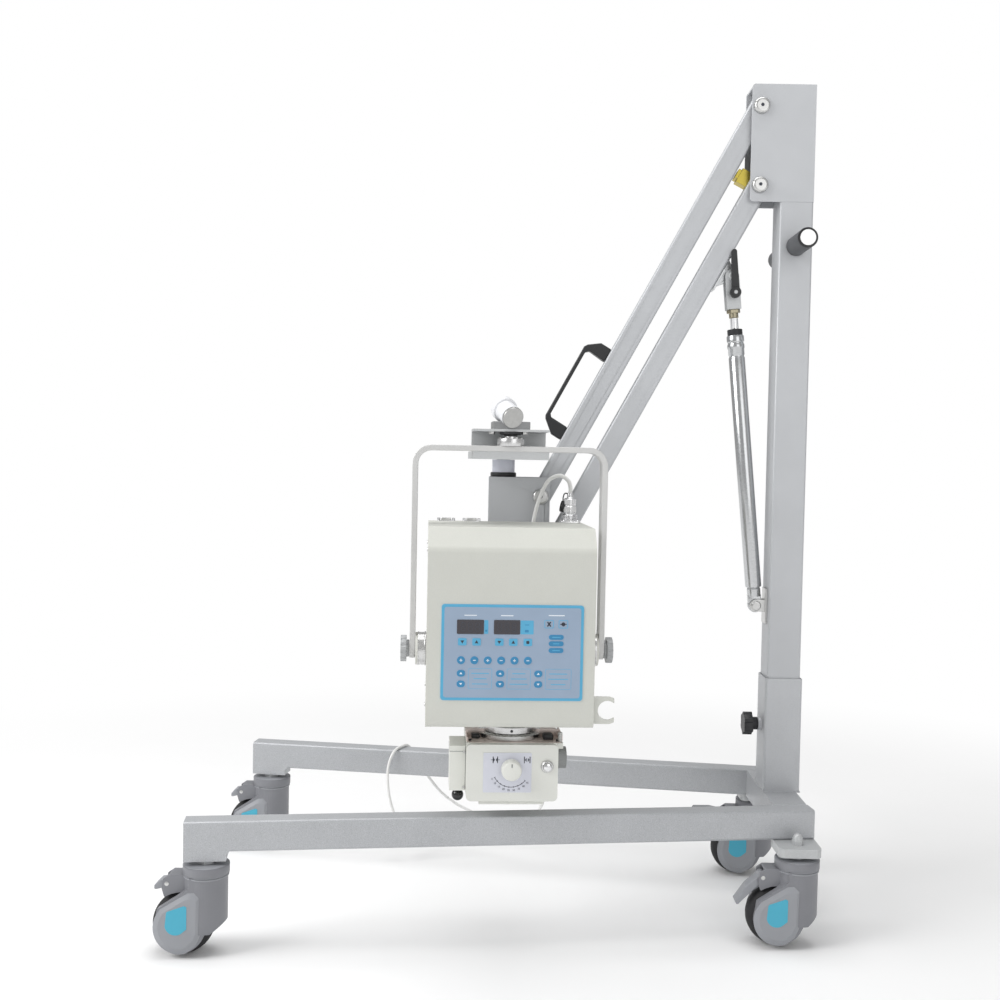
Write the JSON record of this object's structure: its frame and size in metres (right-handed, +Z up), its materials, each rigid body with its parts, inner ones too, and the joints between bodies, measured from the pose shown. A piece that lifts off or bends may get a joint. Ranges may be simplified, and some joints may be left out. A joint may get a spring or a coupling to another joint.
{
  "type": "portable x-ray generator on mobile stand",
  "caption": "Portable x-ray generator with collimator, hung in a yoke from parallel arms with a gas spring, on a mast with two splayed legs and braked swivel casters",
  "frame": {"origin": "on the floor, at the middle of the whole stand's bounding box", "axes": "+Z up; the legs run towards -X from the mast at +X; the control panel faces -Y"},
  "size_m": [1.1035, 0.609, 1.489],
  "materials": {
    "frame_paint": "speckled silver powder coat",
    "zinc_steel": "zinc plated",
    "bracket_paint": "satin grey",
    "yoke_paint": "satin light grey",
    "bright_steel": "turned",
    "spring_chrome": "polished",
    "yellow_zinc": "yellow passivated",
    "black_plastic": "satin black",
    "grey_plastic": "satin grey",
    "grip_rubber": "matt",
    "white_plastic": "satin white",
    "box_paint": "warm grey texture",
    "panel_film": "satin blue film",
    "tank_steel": "satin",
    "board": "solder mask",
    "collimator_shell": "satin off-white",
    "cord_jacket": "satin white",
    "caster_body": "satin grey",
    "caster_pedal": "satin grey",
    "caster_tyre": "matt black"
  },
  "bodies": {
    "base": {"leg_near": "frame_paint", "leg_far": "frame_paint", "crossbeam": "frame_paint", "mast_sleeve": "frame_paint", "caster_mounts": "zinc_steel", "lead_gland": "white_plastic", "loose_lead": "cord_jacket", "lead_plug": "white_plastic"},
    "clamp": {"mast_clamp": "grey_plastic"},
    "mast": {"mast_tube": "frame_paint", "arm_bracket": "frame_paint", "push_bar": "zinc_steel", "push_grips": "grip_rubber", "bracket_bolts": "zinc_steel", "spring_foot": "zinc_steel"},
    "lower_arm": {"lower_arm": "frame_paint", "arm_fittings": "yellow_zinc"},
    "upper_arm": {"upper_arm": "frame_paint", "arm_handle": "black_plastic"},
    "gas_cylinder": {"gas_cylinder": "spring_chrome"},
    "gas_rod": {"gas_rod": "spring_chrome", "release_block": "bracket_paint"},
    "release_lever": {"release_lever": "black_plastic"},
    "head_bracket": {"head_bracket": "frame_paint", "head_post": "white_plastic", "post_seal": "black_plastic", "head_bolts": "zinc_steel"},
    "swivel": {"swivel_bracket": "bracket_paint", "yoke": "yoke_paint", "bearing_ring": "bright_steel"},
    "swivel_lock": {"swivel_lock": "white_plastic"},
    "tilt_knob_left": {"tilt_knob_left": "grey_plastic"},
    "tilt_knob_right": {"tilt_knob_right": "grey_plastic"},
    "head": {"front_cover": "box_paint", "rear_housing": "box_paint", "control_panel": "panel_film", "switch_clip": "box_paint", "top_connectors": "white_plastic", "tube_tank": "tank_steel", "inverter_board": "board", "head_lead": "cord_jacket", "collimator_ring": "bright_steel"},
    "collimator": {"collimator_case": "collimator_shell", "lamp_box": "collimator_shell"},
    "aperture_knob": {"aperture_knob": "white_plastic"},
    "lamp_button": {"lamp_button": "bright_steel"},
    "filter_knob": {"filter_knob": "grey_plastic"},
    "tape_knob": {"tape_knob": "black_plastic"},
    "caster_fork_front_near": {"caster_fork_front_near": "caster_body"},
    "caster_wheel_front_near": {"caster_wheel_front_near": "caster_tyre"},
    "caster_pedal_front_near": {"caster_pedal_front_near": "caster_pedal"},
    "caster_fork_front_far": {"caster_fork_front_far": "caster_body"},
    "caster_wheel_front_far": {"caster_wheel_front_far": "caster_tyre"},
    "caster_pedal_front_far": {"caster_pedal_front_far": "caster_pedal"},
    "caster_fork_rear_near": {"caster_fork_rear_near": "caster_body"},
    "caster_wheel_rear_near": {"caster_wheel_rear_near": "caster_tyre"},
    "caster_pedal_rear_near": {"caster_pedal_rear_near": "caster_pedal"},
    "caster_fork_rear_far": {"caster_fork_rear_far": "caster_body"},
    "caster_wheel_rear_far": {"caster_wheel_rear_far": "caster_tyre"},
    "caster_pedal_rear_far": {"caster_pedal_rear_far": "caster_pedal"}
  },
  "joints": [
    {"name": "swivel_front_near", "type": "hinge", "parent": "base", "child": "caster_fork_front_near", "pos_m": [-0.467, -0.267, 0.14], "axis": [0, 0, 1], "continuous": true},
    {"name": "roll_front_near", "type": "hinge", "parent": "caster_fork_front_near", "child": "caster_wheel_front_near", "pos_m": [-0.502, -0.267, 0.05], "axis": [0, 1, 0], "continuous": true},
    {"name": "brake_front_near", "type": "hinge", "parent": "caster_fork_front_near", "child": "caster_pedal_front_near", "pos_m": [-0.527, -0.267, 0.116], "axis": [0, 1, 0], "range_deg": [-25, 0]},
    {"name": "swivel_front_far", "type": "hinge", "parent": "base", "child": "caster_fork_front_far", "pos_m": [-0.467, 0.267, 0.14], "axis": [0, 0, 1], "continuous": true},
    {"name": "roll_front_far", "type": "hinge", "parent": "caster_fork_front_far", "child": "caster_wheel_front_far", "pos_m": [-0.502, 0.267, 0.05], "axis": [0, 1, 0], "continuous": true},
    {"name": "brake_front_far", "type": "hinge", "parent": "caster_fork_front_far", "child": "caster_pedal_front_far", "pos_m": [-0.527, 0.267, 0.116], "axis": [0, 1, 0], "range_deg": [-25, 0]},
    {"name": "swivel_rear_near", "type": "hinge", "parent": "base", "child": "caster_fork_rear_near", "pos_m": [0.514, -0.177, 0.14], "axis": [0, 0, 1], "continuous": true},
    {"name": "roll_rear_near", "type": "hinge", "parent": "caster_fork_rear_near", "child": "caster_wheel_rear_near", "pos_m": [0.479, -0.177, 0.05], "axis": [0, 1, 0], "continuous": true},
    {"name": "brake_rear_near", "type": "hinge", "parent": "caster_fork_rear_near", "child": "caster_pedal_rear_near", "pos_m": [0.454, -0.177, 0.116], "axis": [0, 1, 0], "range_deg": [0, 45]},
    {"name": "swivel_rear_far", "type": "hinge", "parent": "base", "child": "caster_fork_rear_far", "pos_m": [0.514, 0.177, 0.14], "axis": [0, 0, 1], "continuous": true},
    {"name": "roll_rear_far", "type": "hinge", "parent": "caster_fork_rear_far", "child": "caster_wheel_rear_far", "pos_m": [0.479, 0.177, 0.05], "axis": [0, 1, 0], "continuous": true},
    {"name": "brake_rear_far", "type": "hinge", "parent": "caster_fork_rear_far", "child": "caster_pedal_rear_far", "pos_m": [0.454, 0.177, 0.116], "axis": [0, 1, 0], "range_deg": [-50, 0]},
    {"name": "clamp_turn", "type": "hinge", "parent": "base", "child": "clamp", "pos_m": [0.459, 0, 0.336], "axis": [1, 0, 0], "range_deg": [-180, 180]},
    {"name": "mast_raise", "type": "slide", "parent": "base", "child": "mast", "axis": [0, 0, 1], "range_m": [0, 0.09]},
    {"name": "arm_lift", "type": "hinge", "parent": "mast", "child": "lower_arm", "pos_m": [0.45, 0, 1.31], "axis": [0, 1, 0], "range_deg": [0, 45]},
    {"name": "upper_arm_pivot", "type": "hinge", "parent": "mast", "child": "upper_arm", "pos_m": [0.45, 0, 1.45], "axis": [0, 1, 0], "range_deg": [0, 45]},
    {"name": "head_level", "type": "hinge", "parent": "lower_arm", "child": "head_bracket", "pos_m": [0.07073, 0, 0.60562], "axis": [0, 1, 0], "range_deg": [-45, 0]},
    {"name": "spring_pivot", "type": "hinge", "parent": "mast", "child": "gas_cylinder", "pos_m": [0.467, 0, 0.554], "axis": [0, 1, 0], "range_deg": [-8, 0]},
    {"name": "spring_stroke", "type": "slide", "parent": "gas_cylinder", "child": "gas_rod", "axis": [-0.0985, 0, 0.9951], "range_m": [0, 0.095]},
    {"name": "release_pull", "type": "hinge", "parent": "gas_rod", "child": "release_lever", "pos_m": [0.41254, 0, 1.11939], "axis": [0, 1, 0], "range_deg": [0, 12], "stiffness_Nm_per_rad": 1.5, "springref_deg": -11.46},
    {"name": "head_swivel", "type": "hinge", "parent": "head_bracket", "child": "swivel", "pos_m": [0.002, 0, 0.818], "axis": [0, 0, 1], "range_deg": [-180, 6]},
    {"name": "lock_turn", "type": "hinge", "parent": "swivel", "child": "swivel_lock", "pos_m": [0.01468, -0.19559, 0.884], "axis": [0.352, -0.8713, -0.342], "range_deg": [-90, 90]},
    {"name": "tilt_knob_left_turn", "type": "hinge", "parent": "swivel", "child": "tilt_knob_left", "pos_m": [-0.15503, -0.19142, 0.492], "axis": [-0.9976, -0.0698, 0], "range_deg": [0, 180]},
    {"name": "tilt_knob_right_turn", "type": "hinge", "parent": "swivel", "child": "tilt_knob_right", "pos_m": [0.18414, -0.1677, 0.492], "axis": [0.9976, 0.0698, 0], "range_deg": [0, 180]},
    {"name": "head_tilt", "type": "hinge", "parent": "swivel", "child": "head", "pos_m": [0.01456, -0.17956, 0.492], "axis": [0.9976, 0.0698, 0], "range_deg": [0, 75]},
    {"name": "collimator_turn", "type": "hinge", "parent": "head", "child": "collimator", "pos_m": [0.02254, -0.179, 0.345], "axis": [0, 0, 1], "range_deg": [-45, 30]},
    {"name": "aperture_turn", "type": "hinge", "parent": "collimator", "child": "aperture_knob", "pos_m": [0.02626, -0.26094, 0.308], "axis": [0.0698, -0.9976, 0], "range_deg": [-60, 60]},
    {"name": "lamp_press", "type": "slide", "parent": "collimator", "child": "lamp_button", "axis": [-0.0698, 0.9976, 0], "range_m": [0, 0.0025], "stiffness_N_per_m": 400, "springref_m": -0.001},
    {"name": "filter_turn", "type": "hinge", "parent": "collimator", "child": "filter_knob", "pos_m": [0.10842, -0.20307, 0.316], "axis": [0.9976, 0.0698, 0], "range_deg": [-90, 90]},
    {"name": "tape_turn", "type": "hinge", "parent": "collimator", "child": "tape_knob", "pos_m": [-0.06286, -0.20502, 0.25], "axis": [0, 0, 1], "range_deg": [-180, 180]}
  ],
  "couplings": [
    {"joint": "upper_arm_pivot", "follows": "arm_lift", "ratio": 1},
    {"joint": "head_level", "follows": "arm_lift", "ratio": -1},
    {"joint": "spring_pivot", "follows": "arm_lift", "ratio": -0.1713},
    {"joint": "spring_stroke", "follows": "arm_lift", "m_per_rad": 0.11765}
  ]
}
